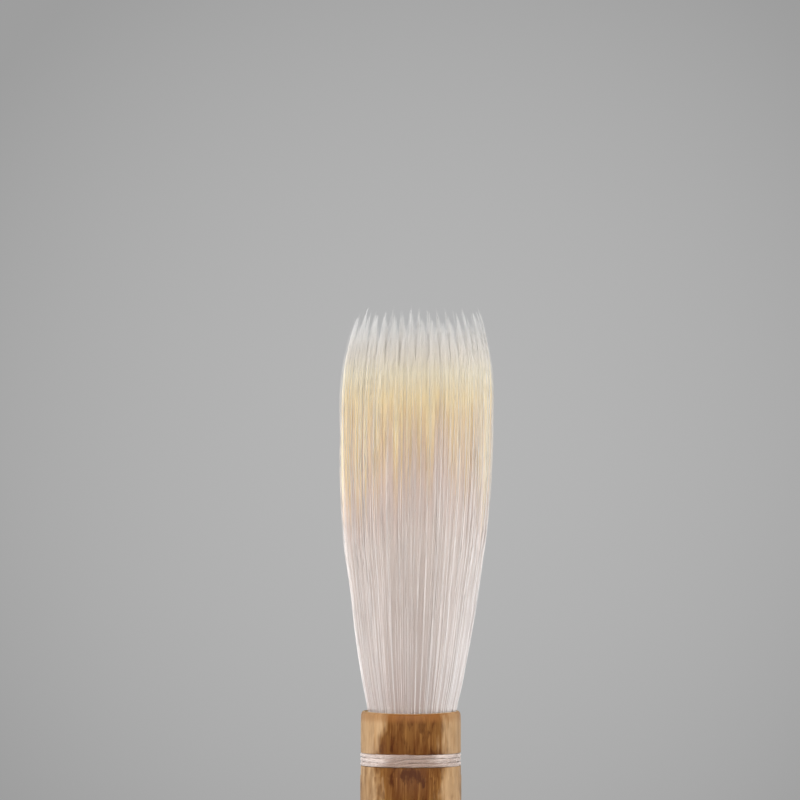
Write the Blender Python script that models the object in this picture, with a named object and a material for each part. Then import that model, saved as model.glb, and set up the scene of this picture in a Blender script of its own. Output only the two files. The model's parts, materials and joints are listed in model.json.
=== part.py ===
"""Calligraphy brush with a bamboo handle and a blunt goat-hair tuft.

The frame is in metres, with +Z up along the handle towards the hair. The origin
is the centre of the flat end face that the brush stands on.

The culm is carved out at its head into a thin-walled socket, and a thread wound
in a groove keeps that wall from splitting. In the socket sit, from the bottom,
a puck of glue, the seared root of the hair, the cord that ties the root, and the
hair itself: a core bundle inside a wrapped layer of cover hair. A turned cap
with a cord hole closes the other end.

Hair flexes, which rigid pieces can't do. The core and the cover are therefore
cut into root, waist and tip along spheres centred on two pivots, so that the
waist can lean sideways on the root and the tip can lean back and forth on the
waist, with no two pieces meeting.
"""

import math
from typing import Callable, NamedTuple

import bmesh
import bpy

MM = 0.001

# Clearances
FIT_GAP = 0.3 * MM  # between two pieces that seat on or in each other
THREAD_GAP = 0.08 * MM  # under a wound thread
TURN_GAP = 0.03 * MM  # between neighbouring turns of thread

# Culm
CULM_LENGTH = 192.0 * MM
BUTT_RADIUS = 5.80 * MM
CULM_RADIUS = 5.97 * MM  # where the natural culm meets the shaved head
HEAD_RADIUS = 5.90 * MM
HEAD_LENGTH = 10.0 * MM
BINDING_SHOULDER = 1.2 * MM  # culm left at the head's radius below the binding
LUMEN_RADIUS = 2.8 * MM
BUTT_EDGE = 0.4 * MM

# Culm node, with its ring, its sheath scar and the wall across the lumen
NODE_HEIGHT = 66.0 * MM  # above the culm's butt
NODE_SWELL = 0.42 * MM
NODE_WIDTH = 3.2 * MM
SCAR_DEPTH = 0.22 * MM
SCAR_WIDTH = 0.8 * MM
NODE_WALL = 2.2 * MM

# Socket, with a flared mouth
LIP_WALL = 0.40 * MM
THROAT_WALL = 0.92 * MM
THROAT_DEPTH = 4.2 * MM
SOCKET_WALL = 1.05 * MM
SOCKET_DEPTH = 14.0 * MM
LIP_INSET = 0.22 * MM
LIP_HEIGHT = 1.0 * MM

# Binding thread round the socket's wall
BINDING_DEPTH = 4.76 * MM  # from the lip to the groove's upper edge
BINDING_TURNS = 3
BINDING_THREAD = 0.44 * MM
BINDING_JOG = 0.14  # share of a turn over which the thread steps to the next one

# Root of the hair
GLUE_HEIGHT = 0.9 * MM
GLUE_NUB = 1.4 * MM  # how far the glue sinks into the lumen
SEARED_HEIGHT = 0.8 * MM
TIE_TURNS = 4
TIE_CORD = 0.40 * MM
TIE_INSET = 0.9 * MM  # from the root's end to the tie
ROOT_TRIM = 0.05 * MM  # how much narrower the root's end is than what slides in above it

# Tuft, as lengths above the lip
TUFT_LENGTH = 47.5 * MM  # at the edge of the blunt end
TUFT_SWELL = (  # share of the length, and how far the outline stands out past the lip's hair
    (0.0, 0.0 * MM),
    (0.105, 1.08 * MM),
    (0.295, 2.42 * MM),
    (0.485, 3.54 * MM),
    (0.675, 3.90 * MM),
    (0.800, 3.88 * MM),
    (0.905, 3.35 * MM),
    (1.0, 2.15 * MM),
)
TUFT_CROWN = 0.3 * MM  # how much the middle of the blunt end stands above its edge
CORE_SHARE = 0.70  # of the outline's radius, taken up by the core

# Where the tuft flexes, as heights above the lip
NECK_PIVOT = 5.5 * MM
NECK_CUT = 8.8 * MM  # where the cut comes out of the tuft's side
WAIST_PIVOT = 21.0 * MM
WAIST_CUT = 24.4 * MM

# End cap
CAP_HEIGHT = 3.0 * MM
CAP_FACE_RADIUS = 5.0 * MM
CAP_EDGE = 0.6 * MM
CAP_TENON_LENGTH = 7.0 * MM
CAP_TENON_LEAD = 0.5 * MM
CORD_HOLE_RADIUS = 1.0 * MM

# Facets
SIDES = 36
FLANK_STEPS = 5
CAP_STEPS = 4
NODE_STEPS = 6
THREAD_POINTS = 28  # for each turn

BUTT = CAP_HEIGHT + FIT_GAP
LIP = BUTT + CULM_LENGTH
SOCKET_FLOOR = LIP - SOCKET_DEPTH
MOUTH_RADIUS = HEAD_RADIUS - LIP_WALL
THROAT_RADIUS = HEAD_RADIUS - THROAT_WALL
SOCKET_RADIUS = HEAD_RADIUS - SOCKET_WALL
ROOT_END_RADIUS = SOCKET_RADIUS - FIT_GAP - ROOT_TRIM

Outline = list[tuple[float, float]]


class Plane(NamedTuple):
    """A flat cut across the tuft, at a height above the lip."""

    height: float

    def height_at(self, _radius: float) -> float:
        return self.height


class Sphere(NamedTuple):
    """The upper half of a sphere centred on the tuft's axis."""

    centre: float
    radius: float

    def height_at(self, radius: float) -> float:
        return self.centre + math.sqrt(max(self.radius**2 - radius**2, 0.0))


def crown() -> Sphere:
    """The domed blunt end of the tuft."""
    edge = tuft_radius(TUFT_LENGTH)
    radius = (edge**2 + TUFT_CROWN**2) / (2 * TUFT_CROWN)
    return Sphere(TUFT_LENGTH + TUFT_CROWN - radius, radius)


def flex_cut(pivot: float, cut: float) -> Sphere:
    """The sphere round a pivot that comes out of the tuft's side at a given height."""
    return Sphere(pivot, math.hypot(tuft_radius(cut), cut - pivot))


def clear_of(sphere: Sphere) -> Sphere:
    """The facing sphere, a gap further out."""
    return Sphere(sphere.centre, sphere.radius + FIT_GAP)


def clear_scene() -> None:
    for obj in list(bpy.data.objects):
        bpy.data.objects.remove(obj, do_unlink=True)


def finish(
    name: str, colour: tuple[float, float, float], roughness: float
) -> bpy.types.Material:
    """A non-metallic Principled material."""
    material = bpy.data.materials.new(name)
    material.use_nodes = True
    shader = material.node_tree.nodes["Principled BSDF"]
    shader.inputs["Base Color"].default_value = (*colour, 1.0)
    shader.inputs["Roughness"].default_value = roughness
    shader.inputs["Metallic"].default_value = 0.0
    return material


def pivot_empty(
    name: str, height: float, parent: bpy.types.Object | None
) -> bpy.types.Object:
    """An empty on the brush's axis at a height in the brush's frame."""
    empty = bpy.data.objects.new(name, None)
    bpy.context.collection.objects.link(empty)
    empty["height"] = height
    empty.parent = parent
    empty.location.z = height - (parent["height"] if parent else 0.0)
    return empty


def place(
    obj: bpy.types.Object,
    material: bpy.types.Material,
    pivot: bpy.types.Object | None,
) -> None:
    """Links a piece whose data is in the brush's frame, and moves its origin to its pivot."""
    bpy.context.collection.objects.link(obj)
    obj.data.materials.append(material)
    if pivot is None:
        return
    for point in obj.data.vertices:
        point.co.z -= pivot["height"]
    obj.parent = pivot


def turned(
    name: str,
    outline: Outline,
    material: bpy.types.Material,
    pivot: bpy.types.Object | None = None,
) -> bpy.types.Object:
    """Turns (radius, height) points round the axis. The outline starts and ends on the
    axis, or else closes on itself."""
    shell = bmesh.new()
    points = [shell.verts.new((radius, 0.0, height)) for radius, height in outline]
    pairs = list(zip(points, points[1:]))
    if outline[0][0] > 0:
        pairs.append((points[-1], points[0]))
    edges = [shell.edges.new(pair) for pair in pairs]
    bmesh.ops.spin(
        shell,
        geom=points + edges,
        axis=(0, 0, 1),
        cent=(0, 0, 0),
        angle=math.tau,
        steps=SIDES,
        use_merge=True,
    )
    bmesh.ops.remove_doubles(shell, verts=shell.verts, dist=1e-7)
    bmesh.ops.recalc_face_normals(shell, faces=shell.faces)
    mesh = bpy.data.meshes.new(name)
    shell.to_mesh(mesh)
    shell.free()
    mesh.shade_smooth()
    mesh.set_sharp_from_angle(angle=math.radians(35))
    obj = bpy.data.objects.new(name, mesh)
    place(obj, material, pivot)
    return obj


def wound(
    name: str,
    path: list[tuple[float, float, float]],
    thickness: float,
    material: bpy.types.Material,
) -> bpy.types.Object:
    """A thread of round section along a path, closed at both ends."""
    curve = bpy.data.curves.new(name, "CURVE")
    curve.dimensions = "3D"
    curve.bevel_depth = thickness / 2
    curve.bevel_resolution = 1
    curve.use_fill_caps = True
    spline = curve.splines.new("POLY")
    spline.points.add(len(path) - 1)
    for point, place_at in zip(spline.points, path):
        point.co = (*place_at, 1.0)
    obj = bpy.data.objects.new(name, curve)
    bpy.context.collection.objects.link(obj)
    curve.materials.append(material)
    return obj


def eased(share: float) -> float:
    """0 to 1 with no slope at either end."""
    share = min(max(share, 0.0), 1.0)
    return share * share * (3 - 2 * share)


def tuft_radius(height: float) -> float:
    """Radius of the tuft's outline at a height above the lip, on a smooth curve
    through its stations."""
    foot = MOUTH_RADIUS - FIT_GAP
    stations = [(share * TUFT_LENGTH, foot + swell) for share, swell in TUFT_SWELL]
    if height <= stations[0][0]:
        return stations[0][1]
    index = min(
        max(i for i, station in enumerate(stations) if station[0] <= height),
        len(stations) - 2,
    )
    slopes = [
        (after[1] - before[1]) / (after[0] - before[0])
        for before, after in zip(stations, stations[1:])
    ]
    (low, start), (high, end) = stations[index], stations[index + 1]
    into = (slopes[max(index - 1, 0)] + slopes[index]) / 2
    out = (slopes[index] + slopes[min(index + 1, len(slopes) - 1)]) / 2
    span = high - low
    t = (height - low) / span
    return (
        (1 + 2 * t) * (1 - t) ** 2 * start
        + t * (1 - t) ** 2 * span * into
        + t * t * (3 - 2 * t) * end
        + t * t * (t - 1) * span * out
    )


def core_radius(height: float) -> float:
    """Outside of the core bundle."""
    return CORE_SHARE * tuft_radius(height) - FIT_GAP / 2


def cover_bore(height: float) -> float:
    """Inside of the cover hair."""
    return CORE_SHARE * tuft_radius(height) + FIT_GAP / 2


def on_axis(_height: float) -> float:
    return 0.0


def meeting(flank: Callable[[float], float], cut: Plane | Sphere) -> float:
    """Height at which a flank meets a cut, found by halving."""
    low, high = -SOCKET_DEPTH, TUFT_LENGTH + SOCKET_DEPTH
    for _ in range(60):
        middle = (low + high) / 2
        if middle < cut.height_at(flank(middle)):
            low = middle
        else:
            high = middle
    return (low + high) / 2


def along_cut(
    cut: Plane | Sphere, start: float, end: float
) -> list[tuple[float, float]]:
    """Points on a cut from one radius to another."""
    steps = CAP_STEPS if isinstance(cut, Sphere) else 1
    radii = [start + (end - start) * i / steps for i in range(steps + 1)]
    return [(radius, cut.height_at(radius)) for radius in radii]


def along_flank(
    flank: Callable[[float], float], start: float, end: float
) -> list[tuple[float, float]]:
    """Points on a flank between two heights, without its ends."""
    heights = [start + (end - start) * i / FLANK_STEPS for i in range(1, FLANK_STEPS)]
    return [(flank(height), height) for height in heights]


def hair_outline(
    inner: Callable[[float], float],
    outer: Callable[[float], float],
    below: Plane | Sphere,
    above: Plane | Sphere,
) -> Outline:
    """Outline of a stretch of hair between two flanks and two cuts, in the brush's frame."""
    outer_low, outer_high = meeting(outer, below), meeting(outer, above)
    outline = along_cut(below, inner(meeting(inner, below)), outer(outer_low))
    outline += along_flank(outer, outer_low, outer_high)
    outline += along_cut(above, outer(outer_high), inner(meeting(inner, above)))
    if inner is not on_axis:
        outline += along_flank(inner, meeting(inner, above), meeting(inner, below))
    return [(radius, LIP + height) for radius, height in outline]


def binding_width() -> float:
    """Width of the wound band of binding thread."""
    return BINDING_TURNS * BINDING_THREAD + (BINDING_TURNS - 1) * TURN_GAP


def groove() -> tuple[float, float, float]:
    """The binding groove's upper edge, lower edge and bottom radius."""
    top = LIP - BINDING_DEPTH
    bottom = top - binding_width() - 2 * THREAD_GAP
    return top, bottom, HEAD_RADIUS - BINDING_THREAD - THREAD_GAP / 2


def culm_radius(height: float) -> float:
    """Outside of the culm below its head, with the ring and scar of its node."""
    head = LIP - HEAD_LENGTH
    share = (height - BUTT) / (head - BUTT)
    radius = BUTT_RADIUS + (CULM_RADIUS - BUTT_RADIUS) * share
    node = BUTT + NODE_HEIGHT
    swell = max(0.0, 1 - ((height - node) / (NODE_WIDTH / 2)) ** 2)
    scar_middle = node - NODE_WIDTH / 2 - SCAR_WIDTH / 2
    scar = max(0.0, 1 - ((height - scar_middle) / (SCAR_WIDTH / 2)) ** 2)
    return radius + NODE_SWELL * swell - SCAR_DEPTH * scar


def culm_outline() -> Outline:
    """The culm from the wall across its lumen, round the butt and the head, and back."""
    node = BUTT + NODE_HEIGHT
    scar_foot = node - NODE_WIDTH / 2 - SCAR_WIDTH
    scar_heights = [scar_foot + SCAR_WIDTH * i / 2 for i in range(3)]
    ring_heights = [
        node + NODE_WIDTH * (i / NODE_STEPS - 0.5) for i in range(1, NODE_STEPS + 1)
    ]
    groove_top, groove_bottom, groove_radius = groove()
    shaved_foot = groove_bottom - BINDING_SHOULDER
    outline = [
        (0.0, node - NODE_WALL / 2),
        (LUMEN_RADIUS, node - NODE_WALL / 2),
        (LUMEN_RADIUS, BUTT),
        (BUTT_RADIUS - BUTT_EDGE, BUTT),
        (BUTT_RADIUS, BUTT + BUTT_EDGE),
    ]
    outline += [(culm_radius(h), h) for h in scar_heights + ring_heights]
    outline += [
        (culm_radius(LIP - HEAD_LENGTH), LIP - HEAD_LENGTH),
        (HEAD_RADIUS, shaved_foot),
        (HEAD_RADIUS, groove_bottom),
        (groove_radius, groove_bottom),
        (groove_radius, groove_top),
        (HEAD_RADIUS, groove_top),
        (HEAD_RADIUS, LIP - LIP_HEIGHT),
        (HEAD_RADIUS - LIP_INSET * 0.3, LIP - LIP_HEIGHT * 0.4),
        (HEAD_RADIUS - LIP_INSET, LIP),
        (MOUTH_RADIUS, LIP),
        (THROAT_RADIUS, LIP - THROAT_DEPTH),
        (SOCKET_RADIUS, SOCKET_FLOOR),
        (LUMEN_RADIUS, SOCKET_FLOOR),
        (LUMEN_RADIUS, node + NODE_WALL / 2),
        (0.0, node + NODE_WALL / 2),
    ]
    return outline


def make_culm(bamboo: bpy.types.Material) -> None:
    turned("bamboo_handle", culm_outline(), bamboo)


def make_end_cap(horn: bpy.types.Material) -> None:
    """Flanged plug with a tenon in the lumen and a hole for a hanging cord."""
    tenon = LUMEN_RADIUS - FIT_GAP
    top = CAP_HEIGHT + CAP_TENON_LENGTH
    turned(
        "end_cap",
        [
            (CORD_HOLE_RADIUS, 0.0),
            (CAP_FACE_RADIUS, 0.0),
            (BUTT_RADIUS - CAP_EDGE / 4, CAP_EDGE),
            (BUTT_RADIUS, 2 * CAP_EDGE),
            (BUTT_RADIUS, CAP_HEIGHT - CAP_EDGE / 2),
            (BUTT_RADIUS - CAP_EDGE / 2, CAP_HEIGHT),
            (tenon, CAP_HEIGHT),
            (tenon, top - CAP_TENON_LEAD),
            (tenon - CAP_TENON_LEAD, top),
            (CORD_HOLE_RADIUS, top),
        ],
        horn,
    )


def binding_path() -> list[tuple[float, float, float]]:
    """Level turns that each step up to the next at the brush's front. The ends stop short
    of the step, so they don't cross the turns."""
    _, groove_bottom, groove_radius = groove()
    radius = groove_radius + THREAD_GAP + BINDING_THREAD / 2
    pitch = BINDING_THREAD + TURN_GAP
    first = groove_bottom + THREAD_GAP + BINDING_THREAD / 2
    count = round(BINDING_TURNS * THREAD_POINTS * (1 - BINDING_JOG / BINDING_TURNS))
    path = []
    for i in range(count + 1):
        turn = i / THREAD_POINTS
        step = eased((turn % 1 - 1 + BINDING_JOG) / BINDING_JOG)
        level = min(math.floor(turn) + step, BINDING_TURNS - 1)
        angle = math.tau * (turn + BINDING_JOG / 2 - 0.25)
        path.append(
            (radius * math.cos(angle), radius * math.sin(angle), first + pitch * level)
        )
    return path


def make_binding(silk: bpy.types.Material) -> None:
    wound("binding_thread", binding_path(), BINDING_THREAD, silk)


def root_end() -> float:
    """Height of the hair's cut end, above the glue and the seared disc."""
    return SOCKET_FLOOR + 3 * FIT_GAP + GLUE_HEIGHT + SEARED_HEIGHT


def make_glue(glue: bpy.types.Material) -> None:
    """Puck on the socket's floor with a nub that sank into the lumen."""
    foot = SOCKET_FLOOR + FIT_GAP
    nub = LUMEN_RADIUS - FIT_GAP
    turned(
        "socket_glue",
        [
            (0.0, SOCKET_FLOOR - GLUE_NUB),
            (nub * 0.8, SOCKET_FLOOR - GLUE_NUB),
            (nub, SOCKET_FLOOR - GLUE_NUB * 0.7),
            (nub, foot),
            (SOCKET_RADIUS - FIT_GAP, foot),
            (SOCKET_RADIUS - FIT_GAP, foot + GLUE_HEIGHT),
            (0.0, foot + GLUE_HEIGHT),
        ],
        glue,
    )


def make_seared_root(char: bpy.types.Material) -> None:
    """Disc of scorched hair ends that holds the root together."""
    foot = SOCKET_FLOOR + 2 * FIT_GAP + GLUE_HEIGHT
    edge = SEARED_HEIGHT / 4
    turned(
        "seared_root",
        [
            (0.0, foot),
            (ROOT_END_RADIUS - edge, foot),
            (ROOT_END_RADIUS, foot + edge),
            (ROOT_END_RADIUS, foot + SEARED_HEIGHT),
            (0.0, foot + SEARED_HEIGHT),
        ],
        char,
    )


def tie_band() -> tuple[float, float]:
    """Heights between which the tie is wound."""
    foot = root_end() + TIE_INSET
    return foot, foot + (TIE_TURNS + 1) * TIE_CORD + TIE_TURNS * TURN_GAP


def tie_seat() -> float:
    """Radius to which the tie pinches the root."""
    return SOCKET_RADIUS - FIT_GAP - TIE_CORD - THREAD_GAP


def make_root_tie(hemp: bpy.types.Material) -> None:
    """Cord wound in a plain helix round the pinched root."""
    foot, _ = tie_band()
    radius = tie_seat() + THREAD_GAP + TIE_CORD / 2
    path = []
    for i in range(TIE_TURNS * THREAD_POINTS + 1):
        turn = i / THREAD_POINTS
        angle = math.tau * turn
        rise = foot + TIE_CORD / 2 + (TIE_CORD + TURN_GAP) * turn
        path.append((radius * math.cos(angle), radius * math.sin(angle), rise))
    wound("root_tie", path, TIE_CORD, hemp)


def root_flank() -> Outline:
    """Outside of the cover hair in the socket, from its cut end up to the lip."""
    foot, top = tie_band()
    return [
        (ROOT_END_RADIUS, root_end()),
        (ROOT_END_RADIUS, foot - THREAD_GAP),
        (tie_seat(), foot - THREAD_GAP),
        (tie_seat(), top + THREAD_GAP),
        (SOCKET_RADIUS - FIT_GAP, top + THREAD_GAP),
        (THROAT_RADIUS - FIT_GAP, LIP - THROAT_DEPTH),
    ]


def make_root_hair(
    core_hair: bpy.types.Material, cover_hair: bpy.types.Material
) -> None:
    """The stretch of core and cover held in the socket, up to the neck's sphere."""
    neck = flex_cut(NECK_PIVOT, NECK_CUT)
    above_lip = Plane(0.0)
    root_core = CORE_SHARE * tie_seat()
    core = hair_outline(on_axis, core_radius, above_lip, neck)
    core[:2] = [
        (0.0, root_end()),
        (root_core - FIT_GAP / 2, root_end()),
        (root_core - FIT_GAP / 2, tie_band()[1]),
        (core_radius(0.0), LIP),
    ]
    turned("core_hair_root", core, core_hair)
    cover = hair_outline(cover_bore, tuft_radius, above_lip, neck)
    cover[:2] = [
        (cover_bore(0.0), LIP),
        (root_core + FIT_GAP / 2, tie_band()[1]),
        (root_core + FIT_GAP / 2, root_end()),
        *root_flank(),
        (tuft_radius(0.0), LIP),
    ]
    turned("cover_hair_root", cover, cover_hair)


def make_free_hair(
    core_hair: bpy.types.Material,
    cover_hair: bpy.types.Material,
    neck_pivot: bpy.types.Object,
    waist_pivot: bpy.types.Object,
) -> None:
    """The waist between its two spheres, and the tip above it."""
    neck = flex_cut(NECK_PIVOT, NECK_CUT)
    waist = flex_cut(WAIST_PIVOT, WAIST_CUT)
    stretches = (
        ("waist", clear_of(neck), waist, neck_pivot),
        ("tip", clear_of(waist), crown(), waist_pivot),
    )
    for stretch, below, above, pivot in stretches:
        core = hair_outline(on_axis, core_radius, below, above)
        turned(f"core_hair_{stretch}", core, core_hair, pivot)
        cover = hair_outline(cover_bore, tuft_radius, below, above)
        turned(f"cover_hair_{stretch}", cover, cover_hair, pivot)


def main() -> None:
    clear_scene()
    bamboo = finish("mottled_bamboo", (0.42, 0.24, 0.09), 0.42)
    silk = finish("binding_silk", (0.72, 0.64, 0.59), 0.55)
    hemp = finish("hemp", (0.50, 0.42, 0.30), 0.80)
    char = finish("seared_hair", (0.07, 0.05, 0.04), 0.70)
    glue = finish("hide_glue", (0.45, 0.26, 0.09), 0.30)
    horn = finish("dark_horn", (0.035, 0.022, 0.016), 0.30)
    core_hair = finish("core_goat_hair", (0.72, 0.64, 0.50), 0.55)
    cover_hair = finish("cover_goat_hair", (0.78, 0.71, 0.66), 0.50)
    neck_pivot = pivot_empty("neck_pivot", LIP + NECK_PIVOT, None)
    waist_pivot = pivot_empty("waist_pivot", LIP + WAIST_PIVOT, neck_pivot)
    make_end_cap(horn)
    make_culm(bamboo)
    make_binding(silk)
    make_glue(glue)
    make_seared_root(char)
    make_root_tie(hemp)
    make_root_hair(core_hair, cover_hair)
    make_free_hair(core_hair, cover_hair, neck_pivot, waist_pivot)


if __name__ == "__main__":
    main()
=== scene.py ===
"""Calligraphy brush with a bamboo handle and a blunt goat-hair tuft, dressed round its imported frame.

The culm, its binding and its cap are turned and wound again at a finer grain than the frame's solids. The
tuft is grown from thousands of tapering hairs over a bed, in two stretches that meet at a level ring between
the two places where the tuft flexes.
"""

import json
import logging
import math
from collections.abc import Callable, Mapping, Sequence
from dataclasses import dataclass
from enum import Enum
from typing import Any

import bpy
import numpy as np
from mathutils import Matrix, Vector


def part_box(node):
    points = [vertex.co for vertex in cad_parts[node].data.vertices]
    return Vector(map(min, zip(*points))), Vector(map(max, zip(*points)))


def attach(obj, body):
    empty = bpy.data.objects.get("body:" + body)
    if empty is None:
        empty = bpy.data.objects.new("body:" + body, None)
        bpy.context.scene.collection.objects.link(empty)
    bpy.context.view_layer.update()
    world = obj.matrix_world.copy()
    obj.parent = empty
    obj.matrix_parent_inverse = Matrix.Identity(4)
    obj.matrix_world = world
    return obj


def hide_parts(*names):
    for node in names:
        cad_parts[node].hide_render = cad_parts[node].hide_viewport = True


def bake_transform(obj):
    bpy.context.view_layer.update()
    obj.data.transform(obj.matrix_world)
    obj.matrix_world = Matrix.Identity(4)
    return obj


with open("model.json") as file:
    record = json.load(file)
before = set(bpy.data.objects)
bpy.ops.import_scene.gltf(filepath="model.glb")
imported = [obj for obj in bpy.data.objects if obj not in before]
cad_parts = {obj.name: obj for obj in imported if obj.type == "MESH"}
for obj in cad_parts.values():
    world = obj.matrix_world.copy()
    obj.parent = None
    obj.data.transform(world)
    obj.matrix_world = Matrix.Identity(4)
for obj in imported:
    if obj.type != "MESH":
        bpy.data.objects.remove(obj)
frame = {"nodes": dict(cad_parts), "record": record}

log = logging.getLogger("brush")

MM = 0.001
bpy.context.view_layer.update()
BAKE_MAP = "OFBake"

Material = bpy.types.Material
Mesh = bpy.types.Mesh
Piece = bpy.types.Object
Colour = tuple[float, float, float]
Outline = Sequence[tuple[float, float]]
Reshape = Callable[[np.ndarray, np.ndarray, np.ndarray], np.ndarray]


class Body(str, Enum):
    """The frame's rigid bodies."""

    HANDLE = "handle"
    WAIST = "tuft_waist"
    TIP = "tuft_tip"


class Slot(str, Enum):
    """The record's material slots."""

    BAMBOO = "mottled_bamboo"
    SILK = "binding_silk"
    HORN = "dark_horn"
    CORE_HAIR = "core_goat_hair"
    COVER_HAIR = "cover_goat_hair"


class Field:
    """An output of a node, with arithmetic that adds nodes to its tree."""

    def __init__(self, socket: bpy.types.NodeSocket) -> None:
        """Args:
        socket: The output.
        """
        self.socket = socket

    def beside(self, name: str) -> "Field":
        """Another output of the same node."""
        return Field(self.socket.node.outputs[name])

    def _step(self, operation: str, *feeds: Any) -> "Field":
        """A Math node, or a Vector Math node if this is a vector or a colour."""
        net = Wiring(self.socket.id_data)
        step = net.vector if self.socket.type in ("VECTOR", "RGBA") else net.math
        return step(operation, *feeds)

    def __add__(self, other: Any) -> "Field":
        return self._step("ADD", self, other)

    def __sub__(self, other: Any) -> "Field":
        return self._step("SUBTRACT", self, other)

    def __rsub__(self, other: Any) -> "Field":
        return self._step("SUBTRACT", other, self)

    def __mul__(self, other: Any) -> "Field":
        return self._step("MULTIPLY", self, other)

    def __truediv__(self, other: Any) -> "Field":
        return self._step("DIVIDE", self, other)

    def __rtruediv__(self, other: Any) -> "Field":
        return self._step("DIVIDE", other, self)

    def __pow__(self, other: Any) -> "Field":
        return self._step("POWER", self, other)


class Wiring:
    """Adds nodes to a tree and links them."""

    def __init__(self, tree: bpy.types.NodeTree) -> None:
        """Args:
        tree: The tree to add to.
        """
        self.tree = tree

    @staticmethod
    def _socket(sockets: Any, key: str | int) -> bpy.types.NodeSocket:
        """The socket in use that has a name, or the one at an index."""
        if isinstance(key, int):
            return sockets[key]
        return next(s for s in sockets if s.enabled and key in (s.name, s.identifier))

    def add(
        self, kind: str, feeds: Mapping[str | int, Any] | None = None, out: str | int = 0, **settings: Any
    ) -> Field:
        """Adds a node.

        Args:
            kind: The node's type.
            feeds: What goes into its inputs, each a socket or a plain value.
            out: The output to hand back.
            settings: The node's own settings.

        Returns:
            The chosen output, counted among those in use if it is an index.
        """
        node = self.tree.nodes.new(kind)
        for name, value in settings.items():
            setattr(node, name, value)
        for key, feed in (feeds or {}).items():
            target = self._socket(node.inputs, key)
            if isinstance(feed, Field):
                self.tree.links.new(feed.socket, target)
            else:
                target.default_value = feed
        used = [s for s in node.outputs if s.enabled]
        return Field(self._socket(used, out)) if used else None

    def math(self, operation: str, *feeds: Any) -> Field:
        """A Math node on numbers."""
        return self.add("ShaderNodeMath", dict(enumerate(feeds)), operation=operation)

    def vector(self, operation: str, *feeds: Any, out: str = "Vector") -> Field:
        """A Vector Math node."""
        node_feeds = dict(enumerate(feeds))
        if operation == "SCALE":
            node_feeds = {0: feeds[0], "Scale": feeds[1]}
        return self.add("ShaderNodeVectorMath", node_feeds, out=out, operation=operation)

    def join(self, x: Any, y: Any, z: Any = 0.0) -> Field:
        """A vector from three numbers."""
        return self.add("ShaderNodeCombineXYZ", {0: x, 1: y, 2: z})

    def parts(self, vector: Field) -> list[Field]:
        """The three numbers of a vector."""
        return [Field(part) for part in self.add("ShaderNodeSeparateXYZ", {0: vector}).socket.node.outputs]

    def ease(self, value: Any, low: Any, high: Any, start: Any = 0.0, end: Any = 1.0) -> Field:
        """Goes smoothly from start to end as value goes from low to high."""
        feeds = {"Value": value, "From Min": low, "From Max": high, "To Min": start, "To Max": end}
        return self.add("ShaderNodeMapRange", feeds, interpolation_type="SMOOTHSTEP")

    def blend(self, share: Any, a: Any, b: Any, kind: str = "RGBA") -> Field:
        """Mixes two colours, vectors or numbers. A plain colour has three numbers."""
        a, b = ((*v, 1.0) if isinstance(v, tuple) else v for v in (a, b))
        feeds = {"Factor": share, "A": a, "B": b}
        return self.add("ShaderNodeMix", feeds, out="Result", data_type=kind)

    def noise(
        self, vector: Any, scale: float, detail: float = 2.0, out: str = "Fac", dimensions: str = "3D"
    ) -> Field:
        """A Noise Texture."""
        feeds = {"Vector": vector, "Scale": scale, "Detail": detail}
        return self.add("ShaderNodeTexNoise", feeds, out=out, noise_dimensions=dimensions)

    def ramp(self, value: Any, stops: Sequence[tuple[float, Colour]]) -> Field:
        """A Color Ramp through stops of place and colour."""
        colour = self.add("ShaderNodeValToRGB", {"Fac": value}, out="Color")
        elements = colour.socket.node.color_ramp.elements
        while len(elements) < len(stops):
            elements.new(1.0)
        for element, (place, tone) in zip(elements, stops):
            element.position = place
            element.color = (*tone, 1.0)
        return colour

    def stored(
        self, geometry: Field, name: str, value: Any, kind: str = "FLOAT", domain: str = "POINT"
    ) -> Field:
        """Stores a named attribute on a geometry."""
        feeds = {"Geometry": geometry, "Name": name, "Value": value}
        return self.add("GeometryNodeStoreNamedAttribute", feeds, data_type=kind, domain=domain)

    def named(self, name: str, kind: str = "FLOAT") -> Field:
        """Reads a named attribute."""
        return self.add("GeometryNodeInputNamedAttribute", {"Name": name}, data_type=kind)

    def bump(self, height: Field, depth: float, strength: float) -> Field:
        """A Bump node whose full height is a depth in metres."""
        return self.add("ShaderNodeBump", {"Height": height, "Distance": depth, "Strength": strength})

    def shape(self, kind: str, geometry: Field, **feeds: Any) -> Field:
        """A Geometry Nodes node on a geometry."""
        return self.add(f"GeometryNode{kind}", {"Geometry": geometry, **feeds})


def srgb(red: int, green: int, blue: int) -> Colour:
    """A linear colour from display values of 0 to 255."""
    shown = (red / 255, green / 255, blue / 255)
    return tuple(c / 12.92 if c <= 0.04045 else ((c + 0.055) / 1.055) ** 2.4 for c in shown)


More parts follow.
